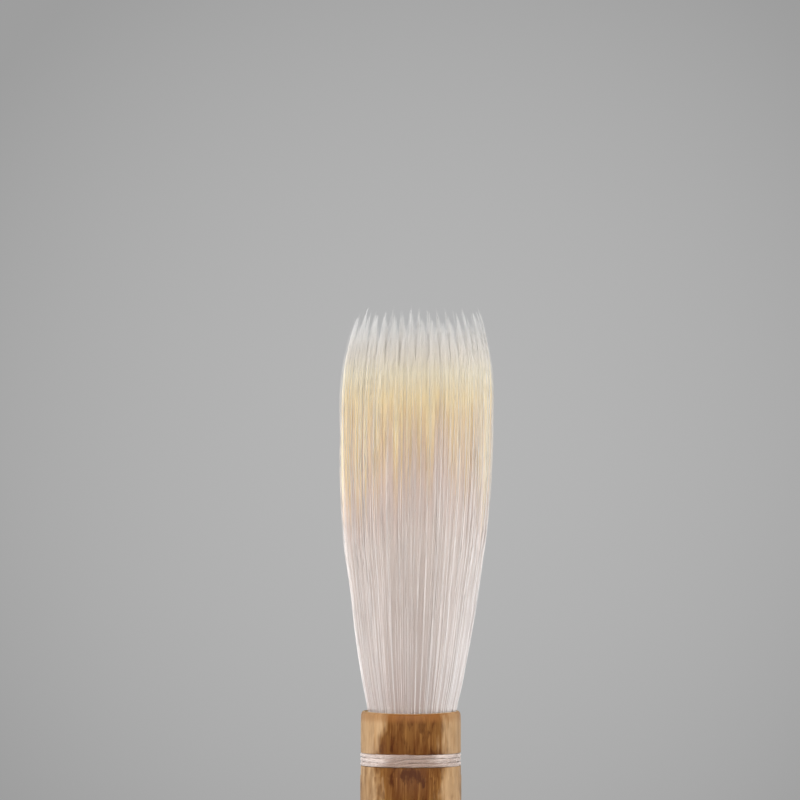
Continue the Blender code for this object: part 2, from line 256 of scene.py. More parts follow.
@dataclass(frozen=True)
class Finish:
    """A surface with one Principled shader.

    Attributes:
        name: The material's name.
        roughness: How matt the surface is.
        coat: Weight of a clear layer over it.
        shine: Strength of the reflection, 0.5 being usual.
        sheen: Weight of the soft glow of fibres.
        glow: Weight of light that passes through.
    """

    name: str
    roughness: float = 0.5
    coat: float = 0.0
    sheen: float = 0.0
    glow: float = 0.0
    shine: float = 0.5

    def paint(self, net: Wiring) -> dict[str, Field]:
        """Wires what goes into the shader's inputs, such as its colour, roughness and bump."""
        raise NotImplementedError

    def material(self) -> Material:
        """Makes the material."""
        material = bpy.data.materials.new(self.name)
        material.use_nodes = True
        shader = material.node_tree.nodes["Principled BSDF"]
        values = {
            "Roughness": self.roughness,
            "Coat Weight": self.coat,
            "Coat Roughness": 0.2,
            "Specular IOR Level": self.shine,
            "Sheen Weight": self.sheen,
            "Sheen Roughness": 0.4,
            "Subsurface Weight": self.glow,
            "Subsurface Scale": 0.8 * MM,
            "Subsurface Radius": (1.0, 1.0, 1.0),
        }
        for key, value in values.items():
            shader.inputs[key].default_value = value
        net = Wiring(material.node_tree)
        for key, field in self.paint(net).items():
            net.tree.links.new(field.socket, shader.inputs[key])
        return material


Stops = Sequence[tuple[float, Colour]]

CREAM_STOPS: Stops = (
    # Darker and warmer at the lip: painted shade and a painted reflection of the bamboo.
    (0.00, srgb(172, 148, 136)),
    (0.08, srgb(187, 166, 157)),
    (0.20, srgb(201, 184, 176)),
    (0.45, srgb(207, 190, 180)),
    (0.56, srgb(205, 182, 170)),
    (0.64, srgb(210, 181, 153)),
    (0.71, srgb(223, 193, 144)),
    (0.77, srgb(236, 214, 164)),
    (0.83, srgb(238, 227, 200)),
    (0.87, srgb(231, 223, 210)),
    (0.90, srgb(219, 214, 207)),
    # Grey towards the tips: the lit backdrop seen through the clear tips, painted into the hair's colour.
    (0.935, srgb(197, 196, 194)),
    (1.00, srgb(203, 203, 203)),
)
WHITE_STOPS: Stops = (
    # Darker and warmer at the lip: painted shade and a painted reflection of the bamboo.
    (0.00, srgb(216, 205, 200)),
    (0.15, srgb(226, 218, 214)),
    (0.55, srgb(214, 204, 198)),
    (0.66, srgb(192, 180, 170)),
    # Grey towards the tips: the lit backdrop seen through the clear tips, painted into the hair's colour.
    (0.82, srgb(178, 174, 168)),
    (0.90, srgb(192, 190, 188)),
    (1.00, srgb(206, 206, 206)),
)


@dataclass(frozen=True)
class HairFinish(Finish):
    """Goat hair, white below and creamy yellow towards its clear tips.

    The bake map's first number is the same along a hair and differs between locks and hairs, and its second
    is the height up the tuft.

    Attributes:
        stops: Colours by height up the tuft.
        fringe: How far the colours' borders shift between locks.
    """

    roughness: float = 0.50
    sheen: float = 0.10
    glow: float = 0.6
    shine: float = 0.4
    fringe: float = 0.25
    stops: Stops = CREAM_STOPS

    def paint(self, net: Wiring) -> dict[str, Field]:
        """Wires the colour along and across the hairs."""
        place = net.add("ShaderNodeUVMap", uv_map=BAKE_MAP)
        lock, height, _ = net.parts(place)
        own = net.math("FRACT", lock * 61.7)
        uneven = lock * 0.75 + own * 0.25
        shift = (uneven - 0.5) * self.fringe
        border = net.ease(height, 0.38, 0.60)
        fade = net.ease(height, 0.82, 0.68)
        shift = shift * (border * fade)
        colour = net.ramp(height + shift, self.stops)
        across, up = lock * 40.0, height * 3.0
        mask = net.noise(net.join(across, up), 3.0)
        strand = net.ease(uneven, 0.15, 0.85, 0.955, 1.0)
        level = strand + net.ease(mask, 0.3, 0.7, -0.01, 0.01)
        toned = colour * net.join(level, level, level)
        matt = net.ease(mask, 0.3, 0.7, self.roughness - 0.06, self.roughness + 0.08)
        return {"Base Color": toned, "Roughness": matt}


@dataclass(frozen=True)
class BambooFinish(Finish):
    """Mottled bamboo skin with fine upright fibres, and pale cut faces.

    Attributes:
        lip: Height of the culm's lip.
        radius: Radius of the culm.
    """

    roughness: float = 0.36
    coat: float = 0.02
    shine: float = 0.03
    lip: float = 0.0
    radius: float = 6.0 * MM

    def paint(self, net: Wiring) -> dict[str, Field]:
        """Wires the skin, its blotches and streaks, and the shaved lip. Its left and right flanks are lighter
        partly through painted side light.
        """
        place = net.add("ShaderNodeTexCoord", out="Object")
        x, y, height = net.parts(place)

        def grains(width: float, length: float, detail: float = 3.0) -> Field:
            """Upright noise with grains of a width and a length."""
            return net.noise(place * (1 / width, 1 / width, 1 / length), 1.0, detail)

        cloud = grains(3.0 * MM, 9.0 * MM)
        frayed = grains(0.7 * MM, 4.0 * MM, 2.0)
        # Lighter at the left and right flanks and darker between them: partly the skin's own pale and stained
        # patches, partly painted side light and a painted reflection of the side lamps.
        side = (frayed - 0.5) * (3.0 * MM) + x
        left = net.ease(side, -0.25 * self.radius, -0.85 * self.radius)
        right = net.ease(side, 0.42 * self.radius, 0.84 * self.radius)
        clear = net.math("MAXIMUM", left, right) + net.ease(cloud, 0.35, 0.75, -0.25, 0.45)
        clear = net.math("MINIMUM", net.math("MAXIMUM", clear, 0.0), 1.0)
        mottled = 1.0 - clear * 0.85
        tones = ((0.0, srgb(82, 50, 22)), (0.45, srgb(99, 66, 32)), (1.0, srgb(150, 122, 90)))
        skin = net.ramp(clear, tones)
        fibre = grains(0.15 * MM, 5.0 * MM)
        skin = net.blend(net.ease(fibre, 0.50, 0.70, 0.0, 0.45), skin, srgb(132, 93, 50))
        streak = grains(0.42 * MM, 3.6 * MM)
        brown = net.ease(streak, 0.46, 0.62, 0.0, 0.80) * mottled
        skin = net.blend(brown, skin, srgb(71, 38, 14))
        blotch = grains(0.85 * MM, 2.2 * MM, 4.0)
        dark = net.ease(blotch, 0.48, 0.64, 0.0, 0.90) * mottled
        skin = net.blend(dark, skin, srgb(55, 26, 9))
        shaved = net.ease(height, self.lip - 1.3 * MM, self.lip - 0.5 * MM, 0.0, 0.75)
        shaved = shaved * (clear * -0.45 + 1.0)
        ragged = net.ease(grains(0.8 * MM, 3.0 * MM, 2.0), 0.25, 0.50, 0.3, 1.0)
        skin = net.blend(shaved * ragged, skin, srgb(114, 73, 38))
        matt = net.ease(fibre, 0.3, 0.7, self.roughness - 0.06, self.roughness + 0.12)
        grain = net.bump(fibre + blotch * -0.5, 0.04 * MM, 0.6)
        return {"Base Color": self.cut_faces(net, x, y, skin), "Roughness": matt, "Normal": grain}

    @staticmethod
    def cut_faces(net: Wiring, x: Field, y: Field, skin: Field) -> Field:
        """Colours the bore and the ends, where the cane's pores show as dark dots.

        Args:
            net: The material's wiring.
            x: Object coordinate.
            y: Object coordinate.
            skin: The colour of the skin.

        Returns:
            The whole culm's colour.
        """
        across = net.math("SQRT", x**2.0 + y**2.0)
        inside = net.ease(across, 5.66 * MM, 5.54 * MM)
        cells = {"Vector": net.join(x, y), "Scale": 1 / (0.42 * MM)}
        pores = net.add("ShaderNodeTexVoronoi", cells, out="Distance")
        flesh = net.ramp(pores, ((0.10, srgb(110, 72, 36)), (0.30, srgb(204, 168, 112))))
        return net.blend(inside, skin, flesh)


@dataclass(frozen=True)
class ThreadFinish(Finish):
    """Undyed thread, its fibres running with the twist.

    The bake map runs round each filament and along it.

    Attributes:
        pale: Colour of the clean fibres.
        shade: Colour between them.
        held: Half the width of the darker part at the front, painted shade where the side lamps light the
            thread less.
    """

    roughness: float = 0.55
    sheen: float = 0.3
    glow: float = 0.3
    shine: float = 0.3
    pale: Colour = srgb(196, 179, 170)
    shade: Colour = srgb(138, 118, 107)
    held: float = 0.0

    def paint(self, net: Wiring) -> dict[str, Field]:
        """Wires fine fibres and their bump, and painted shade over the front middle."""
        place = net.add("ShaderNodeUVMap", uv_map=BAKE_MAP)
        fibre = net.noise(place * (6.0, 260.0, 1.0), 1.0, 3.0)
        soil = net.noise(place * (1.0, 22.0, 1.0), 1.0)
        depth = fibre * 0.45 + soil * 0.55
        colour = net.ramp(depth, ((0.38, self.shade), (0.60, self.pale)))
        # Painted shade: the thread's front middle is darkened where the side lamps light it less.
        if self.held:
            x, y, _ = net.parts(net.add("ShaderNodeTexCoord", out="Object"))
            spread = (soil - 0.5) * (2.5 * MM) + net.math("ABSOLUTE", x)
            front = net.ease(y, 0.0, -self.held)
            mask = net.ease(spread, 1.35 * self.held, 0.65 * self.held) * front
            colour = net.blend(mask * 0.75, colour, srgb(116, 92, 78))
        return {"Base Color": colour, "Normal": net.bump(fibre, 0.02 * MM, 0.5)}


@dataclass(frozen=True)
class CloudyFinish(Finish):
    """A dense material with cloudy variation, for horn, glue, seared hair and hemp.

    Attributes:
        deep: Its darker colour.
        light: Its lighter colour.
        grain: Size of the clouds across the brush.
        stretch: How many times longer they are along it.
        relief: Height of the bump.
    """

    deep: Colour = (0.02, 0.01, 0.01)
    light: Colour = (0.05, 0.03, 0.02)
    grain: float = 1.0 * MM
    stretch: float = 1.0
    relief: float = 0.01 * MM

    def paint(self, net: Wiring) -> dict[str, Field]:
        """Wires the clouds, and a roughness and bump that follow them."""
        place = net.add("ShaderNodeTexCoord", out="Object")
        scale = (1 / self.grain, 1 / self.grain, 1 / (self.grain * self.stretch))
        cloud = net.noise(place * scale, 1.0, 4.0)
        colour = net.ramp(cloud, ((0.35, self.deep), (0.68, self.light)))
        matt = net.ease(cloud, 0.3, 0.7, self.roughness - 0.05, self.roughness + 0.1)
        return {"Base Color": colour, "Roughness": matt, "Normal": net.bump(cloud, self.relief, 0.6)}


@dataclass(frozen=True)
class Datum:
    """Heights that the frame fixes.

    Attributes:
        butt: Lower end of the culm.
        lip: Upper end of the culm.
        neck: Where the whole tuft flexes.
        waist: Where its upper half flexes.
    """

    butt: float
    lip: float
    neck: float
    waist: float

    @classmethod
    def read(cls) -> "Datum":
        """Reads them from the frame."""
        culm_low, culm_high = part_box("bamboo_handle")
        joints = {joint["name"]: joint for joint in frame["record"]["behaviour"]["joints"]}
        return cls(
            butt=culm_low[2],
            lip=culm_high[2],
            neck=joints["neck_flex"]["pos_m"][2],
            waist=joints["waist_flex"]["pos_m"][2],
        )


def link(name: str, mesh: Mesh, material: Material) -> Piece:
    """Puts a mesh in the scene as a piece with one material."""
    mesh.materials.clear()
    mesh.materials.append(material)
    piece = bpy.data.objects.new(name, mesh)
    bpy.context.collection.objects.link(piece)
    return piece


def settle(piece: Piece, body: Body, slot: Slot, *nodes: str) -> None:
    """Puts a piece on a body in place of CAD nodes."""
    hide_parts(*nodes)
    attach(piece, body.value)
    log.info("%s: %d faces", piece.name, len(piece.data.polygons))


def turned(
    name: str,
    outline: Outline,
    sides: int,
    material: Material,
    reshape: Reshape | None = None,
    crease: float = 40.0,
) -> Piece:
    """Turns an outline into a closed body.

    Args:
        name: The piece's name.
        outline: Radius and height of its points, anticlockwise as seen with the radius to the right. It
            starts and ends on the axis, or else closes on itself.
        sides: Points in each ring.
        material: Its finish.
        reshape: Gives new radii from the radii, heights and angles.
        crease: Degrees past which an edge is sharp.

    Returns:
        The piece, with a bake map that runs round it and up it.
    """
    radii, heights = np.array(outline, float).T
    angles = np.arange(sides) * math.tau / sides
    solid = radii[0] == 0
    rings = slice(1, -1) if solid else slice(None)
    ring_radii = np.repeat(radii[rings, None], sides, axis=1)
    ring_heights = np.repeat(heights[rings, None], sides, axis=1)
    if reshape:
        ring_radii = reshape(ring_radii, ring_heights, np.broadcast_to(angles, ring_radii.shape))
    flat = [ring_radii * np.cos(angles), ring_radii * np.sin(angles), ring_heights]
    points = np.stack(flat, axis=-1).reshape(-1, 3)
    count = ring_radii.shape[0]
    faces = []
    for ring in range(count - 1 if solid else count):
        here, above = ring * sides, (ring + 1) % count * sides
        for side in range(sides):
            after = (side + 1) % sides
            faces.append((here + side, here + after, above + after, above + side))
    if solid:
        points = np.vstack([points, [[0, 0, heights[0]], [0, 0, heights[-1]]]])
        foot, head, last = count * sides, count * sides + 1, (count - 1) * sides
        for side in range(sides):
            after = (side + 1) % sides
            faces.append((foot, after, side))
            faces.append((head, last + side, last + after))
    mesh = bpy.data.meshes.new(name)
    mesh.from_pydata(points.tolist(), [], faces)
    unwrap_turned(mesh)
    mesh.shade_smooth()
    mesh.set_sharp_from_angle(angle=math.radians(crease))
    return link(name, mesh, material)


def unwrap_turned(mesh: Mesh) -> None:
    """Gives a turned mesh a bake map: the turn's share by the height's share, whole at its seam."""
    places = np.array([v.co for v in mesh.vertices])
    low, high = places[:, 2].min(), places[:, 2].max()
    layer = mesh.uv_layers.new(name=BAKE_MAP)
    for face in mesh.polygons:
        middle = math.atan2(face.center.y, face.center.x) / math.tau
        for corner in face.loop_indices:
            point = mesh.vertices[mesh.loops[corner].vertex_index].co
            turn = math.atan2(point.y, point.x) / math.tau if point.xy.length > 1e-9 else middle
            turn += round(middle - turn)
            within = turn % 1 if abs(turn % 1 - middle % 1) < 0.5 else turn
            layer.data[corner].uv = (within, (point.z - low) / (high - low))


def arc(centre: tuple[float, float], radius: float, start: float, end: float, steps: int) -> Outline:
    """Points on an arc of an outline, from one angle to another in degrees."""
    angles = np.radians(np.linspace(start, end, steps + 1))
    return [(centre[0] + radius * math.cos(a), centre[1] + radius * math.sin(a)) for a in angles]


def ripple(angles: np.ndarray, heights: np.ndarray, seed: int, waves: int, length: float) -> np.ndarray:
    """Smooth pseudo-random bumps round and along a turned piece, within about -1 to 1.

    Args:
        angles: Angles of the points.
        heights: Heights of the points.
        seed: Picks the bumps.
        waves: The most bumps in one turn.
        length: Height over which they change.

    Returns:
        The bumps' height at each point.
    """
    dice = np.random.default_rng(seed)
    total = np.zeros_like(angles)
    for count in dice.integers(1, waves + 1, 9):
        turn, rise, size = dice.uniform(0, math.tau), dice.uniform(-1, 1), dice.uniform(0.4, 1.0)
        total += size * np.sin(count * angles + turn + math.tau * rise * heights / length)
    return total / 4.5


@dataclass
class Culm:
    """The bamboo handle with its socket, groove and node."""

    datum: Datum
    butt_radius: float = 5.80 * MM
    radius: float = 5.96 * MM
    head_radius: float = 5.90 * MM
    head_length: float = 10.0 * MM
    shoulder: float = 1.2 * MM
    lumen_radius: float = 2.8 * MM
    mouth_radius: float = 5.50 * MM
    throat_radius: float = 4.98 * MM
    throat_depth: float = 4.2 * MM
    socket_radius: float = 4.85 * MM
    socket_depth: float = 14.0 * MM
    binding_depth: float = 4.76 * MM
    groove_width: float = 1.54 * MM
    groove_depth: float = 0.48 * MM
    node_height: float = 66.0 * MM
    node_swell: float = 0.40 * MM
    node_width: float = 3.2 * MM
    scar_depth: float = 0.22 * MM
    scar_width: float = 0.8 * MM
    node_wall: float = 2.2 * MM
    lip_sway: float = 0.15 * MM
    sides: int = 120

    def skin(self, height: float) -> float:
        """Radius of the natural skin at a height, with the node's ring and scar."""
        head = self.datum.lip - self.head_length
        share = (height - self.datum.butt) / (head - self.datum.butt)
        node = self.datum.butt + self.node_height
        ring = math.exp(-(((height - node) / (self.node_width * 0.30)) ** 2))
        brow = math.exp(-(((height - node - self.node_width * 0.75) / (self.node_width * 0.35)) ** 2))
        scar_middle = node - self.node_width / 2 - self.scar_width / 2
        scar = max(0.0, 1 - ((height - scar_middle) / (self.scar_width / 2)) ** 2)
        taper = self.butt_radius + (self.radius - self.butt_radius) * share
        return taper + self.node_swell * (ring + 0.25 * brow) - self.scar_depth * scar

    def outline(self) -> Outline:
        """The culm's section, from the wall across its lumen round the butt and the head."""
        lip, butt = self.datum.lip, self.datum.butt
        node = butt + self.node_height
        head = lip - self.head_length
        top = lip - self.binding_depth
        foot = top - self.groove_width
        bottom = self.head_radius - self.groove_depth
        below, above = (butt + 0.6 * MM, node - 6 * MM, 16), (node + 8 * MM, head, 24)
        plain = [h for span in (below, (node - 5 * MM, node + 6 * MM, 45), above) for h in np.linspace(*span)]
        edge, nick = 0.4 * MM, 0.06 * MM
        crest = self.mouth_radius + 0.03 * MM
        rim = self.head_radius - 0.03 * MM - crest
        quarter = np.radians(range(0, 91, 10))
        return [
            (0.0, node - self.node_wall / 2),
            (self.lumen_radius - edge, node - self.node_wall / 2),
            *arc((self.lumen_radius - edge, node - self.node_wall / 2 - edge), edge, 90, 0, 4),
            (self.lumen_radius, butt + edge / 2),
            (self.lumen_radius + edge / 2, butt),
            *arc((self.butt_radius - edge, butt + edge), edge, 270, 360, 5),
            *((self.skin(h), h) for h in plain),
            (self.head_radius + nick, foot - self.shoulder),
            (self.head_radius, foot - self.shoulder + nick * 3),
            *arc((self.head_radius - nick, foot - nick), nick, 0, 90, 3),
            (bottom, foot),
            (bottom, top),
            *arc((self.head_radius - nick, top + nick), nick, 270, 360, 3),
            (self.head_radius, lip - 1.5 * MM),
            (self.head_radius - 0.01 * MM, lip - 0.9 * MM),
            *((crest + rim * math.cos(a), lip + 0.55 * MM * (math.sin(a) - 1)) for a in quarter),
            (self.mouth_radius, lip - 0.10 * MM),
            (self.throat_radius, lip - self.throat_depth),
            (self.socket_radius, lip - self.socket_depth),
            (self.lumen_radius, lip - self.socket_depth),
            (self.lumen_radius, node + self.node_wall / 2 + edge),
            *arc((self.lumen_radius - edge, node + self.node_wall / 2 + edge), edge, 0, -90, 4),
            (0.0, node + self.node_wall / 2),
        ]

    def weathered(self, radii: np.ndarray, heights: np.ndarray, angles: np.ndarray) -> np.ndarray:
        """Makes the outside a little out of round, with shallow flutes along the fibres."""
        outside = np.clip((radii - self.mouth_radius - 0.05 * MM) / (0.2 * MM), 0, 1)
        slow = ripple(angles, heights, 3, 5, 160 * MM) * 0.035 * MM
        flutes = ripple(angles, heights, 8, 34, 300 * MM) * 0.012 * MM
        return radii + outside * (slow + flutes)

    def build(self) -> None:
        """Turns the culm and puts it on the handle."""
        finish = BambooFinish("mottled_bamboo_skin", lip=self.datum.lip, radius=self.radius)
        culm = turned("bamboo_culm", self.outline(), self.sides, finish.material(), self.weathered)
        for point in culm.data.vertices:
            near = min(max(1 - (self.datum.lip - point.co.z) / (1.5 * MM), 0.0), 1.0)
            point.co.z += self.lip_sway * near * (point.co.x / self.head_radius) ** 2
        settle(culm, Body.HANDLE, Slot.BAMBOO, "bamboo_handle")


def grown(
    tree: bpy.types.NodeTree, name: str, sizes: Mapping[str, Any], start: bpy.types.ID
) -> Mesh:
    """Runs a Geometry Nodes tree and keeps its result as a plain mesh.

    Args:
        tree: The tree.
        name: The mesh's name.
        sizes: Values of the tree's named inputs.
        start: Mesh or curve that the tree starts from.

    Returns:
        The mesh, with no modifier left.
    """
    maker = bpy.data.objects.new(f"{name}_maker", start)
    bpy.context.collection.objects.link(maker)
    modifier = maker.modifiers.new("grow", "NODES")
    modifier.node_group = tree
    identifiers = {item.name: item.identifier for item in tree.interface.items_tree if item.in_out == "INPUT"}
    for key, value in sizes.items():
        modifier[identifiers[key]] = value
    depsgraph = bpy.context.evaluated_depsgraph_get()
    mesh = bpy.data.meshes.new_from_object(maker.evaluated_get(depsgraph), depsgraph=depsgraph)
    mesh.name = name
    bpy.data.objects.remove(maker, do_unlink=True)
    return mesh


def new_tree(name: str, inputs: Mapping[str, int | float]) -> tuple[Wiring, dict[str, Field]]:
    """Starts a Geometry Nodes tree, which also takes a material.

    Args:
        name: The tree's name.
        inputs: Default value of each named input.

    Returns:
        The tree's net, and its inputs by name.
    """
    tree = bpy.data.node_groups.new(name, "GeometryNodeTree")
    tree.is_modifier = True
    tree.interface.new_socket(name="Geometry", in_out="INPUT", socket_type="NodeSocketGeometry")
    for key, value in inputs.items():
        kind = "NodeSocketInt" if isinstance(value, int) else "NodeSocketFloat"
        tree.interface.new_socket(name=key, in_out="INPUT", socket_type=kind).default_value = value
    tree.interface.new_socket(name="Material", in_out="INPUT", socket_type="NodeSocketMaterial")
    tree.interface.new_socket(name="Geometry", in_out="OUTPUT", socket_type="NodeSocketGeometry")
    group = tree.nodes.new("NodeGroupInput")
    return Wiring(tree), {socket.name: Field(socket) for socket in group.outputs if socket.name}


def end_tree(net: Wiring, geometry: Field, material: Field) -> bpy.types.NodeTree:
    """Ends a tree in Realize Instances and Set Material."""
    real = net.shape("RealizeInstances", geometry)
    dressed = net.add("GeometryNodeSetMaterial", {"Geometry": real, "Material": material})
    net.add("NodeGroupOutput", {"Geometry": dressed})
    return net.tree


@dataclass
class Binding:
    """Silk wound in the culm's groove, stepping from turn to turn at the front.

    Attributes:
        turns: Whole turns.
        thickness: Thickness of the thread.
        pitch: From one turn to the next.
        jog: Share of a turn over which the thread steps up.
        jog_place: Where the step's middle is, in turns from +X.
        filaments: Filaments spun into the thread.
        filament: Thickness of each.
        lay: Length over which they twist once.
        unruly: How far they stray from their place.
        points_per_turn: Points on the path in each turn.
    """

    turns: int = 3
    thickness: float = 0.44 * MM
    pitch: float = 0.50 * MM
    jog: float = 0.10
    jog_place: float = -0.294
    filaments: int = 20
    filament: float = 0.105 * MM
    lay: float = 7.0 * MM
    unruly: float = 0.03 * MM
    points_per_turn: int = 130

    def path(self) -> list[Vector]:
        """Middle line of the thread, a little uneven, its last end lifting over the turns."""
        low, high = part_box("binding_thread")
        radius = high[0] - self.thickness / 2
        first = (low[2] + high[2]) / 2 - self.pitch * (self.turns - 1) / 2
        tail = self.jog * 1.1
        last = self.turns - self.jog + tail
        path = []
        for turn in np.arange(-tail, last, 1 / self.points_per_turn):
            step = min(max((turn % 1 - 1 + self.jog) / self.jog, 0.0), 1.0) if turn > 0 else 0.0
            level = min(max(math.floor(turn), 0) + step * step * (3 - 2 * step), self.turns - 1)
            ending = min(max((turn - last + 2 * tail) / (2 * tail), 0.0), 1.0) ** 2
            angle = math.tau * (turn + self.jog / 2 + self.jog_place)
            uneven = 0.015 * MM * math.sin(3.1 * angle + 1.3 * turn) + 0.10 * MM * ending
            out = radius + 0.06 * MM * ending * (1 - ending) * 4
            height = first + self.pitch * level + uneven
            path.append(Vector((out * math.cos(angle), out * math.sin(angle), height)))
        return path

    def tree(self) -> bpy.types.NodeTree:
        """Copies the path once for each filament and lays the copies in a twisted bundle round it."""
        net, given = new_tree(
            "spun_thread",
            {
                "Thickness": self.thickness,
                "Width": self.pitch * 1.12,
                "Filaments": self.filaments,
                "Filament": self.filament,
                "Lay": self.lay,
                "Unruly": self.unruly,
                "Seed": 5,
            },
        )
        strands = net.add("GeometryNodePoints", {"Count": given["Filaments"]})
        strands = net.stored(strands, "strand", net.add("GeometryNodeInputIndex"))
        whole = net.add("GeometryNodeSplineParameter", out="Factor")
        curve = net.stored(given["Geometry"], "along", whole)
        curve = net.stored(curve, "run", net.add("GeometryNodeSplineParameter", out="Length"))
        curves = net.add("GeometryNodeInstanceOnPoints", {"Points": strands, "Instance": curve})
        curves = net.shape("RealizeInstances", curves)
        curves = net.shape("SetPosition", curves, Position=self.spun(net, given))
        section = net.add("GeometryNodeCurvePrimitiveCircle", {"Resolution": 5, "Radius": 1.0})
        around = net.add("GeometryNodeSplineParameter", out="Factor")
        section = net.stored(section, "around", around)
        middle = net.math("ABSOLUTE", net.named("along") - 0.5)
        half = given["Filament"] * net.ease(middle, 0.49, 0.5, 0.5, 0.15)
        feeds = {"Curve": curves, "Profile Curve": section, "Scale": half, "Fill Caps": True}
        thread = net.add("GeometryNodeCurveToMesh", feeds)
        lane = (net.named("strand") + net.named("around")) * 0.05
        thread = net.stored(thread, BAKE_MAP, net.join(lane, net.named("along")), "FLOAT2", "CORNER")
        thread = net.shape("SetShadeSmooth", thread)
        return end_tree(net, thread, given["Material"])

    @staticmethod
    def spun(net: Wiring, given: Mapping[str, Field]) -> Field:
        """Where each point of each filament lies.

        Args:
            net: The tree's wiring.
            given: The tree's inputs.

        Returns:
            The position, on an even spiral packing that turns along the thread.
        """
        golden = math.pi * (3 - math.sqrt(5))
        strand, run = net.named("strand"), net.named("run")
        twist = run * math.tau / given["Lay"]
        phase = strand * golden + twist
        filled = (strand + 0.5) / given["Filaments"]
        share = net.math("SQRT", filled) * 0.5
        deep = given["Thickness"] - given["Filament"]
        wide = given["Width"] - given["Filament"]
        out = net.math("COSINE", phase) * share * deep
        up = net.math("SINE", phase) * share * wide
        seeded = strand * 7.3 + given["Seed"]
        stray = net.noise(net.join(seeded, run * 420.0), 1.0, 1.0, "Color")
        stray = net.vector("SCALE", stray - (0.5, 0.5, 0.5), given["Unruly"])
        place = net.add("GeometryNodeInputPosition")
        radial = net.vector("NORMALIZE", place * (1.0, 1.0, 0.0))
        return place + net.vector("SCALE", radial, out) + net.join(0.0, 0.0, up) + stray

    def build(self) -> None:
        """Winds the thread and puts it on the handle."""
        curve = bpy.data.curves.new("binding_path", "CURVE")
        curve.dimensions = "3D"
        spline = curve.splines.new("POLY")
        path = self.path()
        spline.points.add(len(path) - 1)
        for point, place in zip(spline.points, path):
            point.co = (*place, 1.0)
        # The binding gets painted shade over its front middle.
        silk = ThreadFinish("twisted_silk", held=3.1 * MM).material()
        mesh = grown(self.tree(), "binding_winding", {"Material": silk}, curve)
        winding = link("binding_winding", mesh, silk)
        settle(winding, Body.HANDLE, Slot.SILK, "binding_thread")


@dataclass
class EndCap:
    """Turned horn cap with a tenon in the lumen and a hole for a cord."""

    radius: float = 5.80 * MM
    face_radius: float = 5.0 * MM
    tenon_radius: float = 2.5 * MM
    hole_radius: float = 1.0 * MM
    flange: float = 3.0 * MM
    sides: int = 96

    def outline(self) -> Outline:
        """The cap's section, with a rounded edge and two fine turned lines."""
        _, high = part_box("end_cap")
        top, bore, edge = high[2], self.hole_radius, 0.25 * MM
        line, depth = 0.12 * MM, 0.07 * MM
        lines = []
        for middle in (1.5 * MM, 1.95 * MM):
            cut = (self.radius - depth, middle)
            lines += [(self.radius, middle - line), cut, (self.radius, middle + line)]
        shoulder = self.radius - self.face_radius
        return [
            (bore, edge),
            *arc((bore + edge, edge), edge, 180, 270, 4)[1:],
            *arc((self.face_radius, shoulder), shoulder, 270, 360, 7),
            *lines,
            *arc((self.radius - edge, self.flange - edge), edge, 0, 90, 4),
            (self.tenon_radius, self.flange),
            (self.tenon_radius, top - 0.5 * MM),
            (self.tenon_radius - 0.5 * MM, top),
            (bore, top),
        ]

    def build(self) -> None:
        """Turns the cap and puts it on the handle."""
        look = {"roughness": 0.22, "coat": 0.3, "grain": 1.6 * MM, "stretch": 4.0, "relief": 0.004 * MM}
        horn = CloudyFinish("polished_horn", deep=srgb(26, 20, 17), light=srgb(66, 50, 40), **look)
        cap = turned("horn_cap", self.outline(), self.sides, horn.material())
        settle(cap, Body.HANDLE, Slot.HORN, "end_cap")


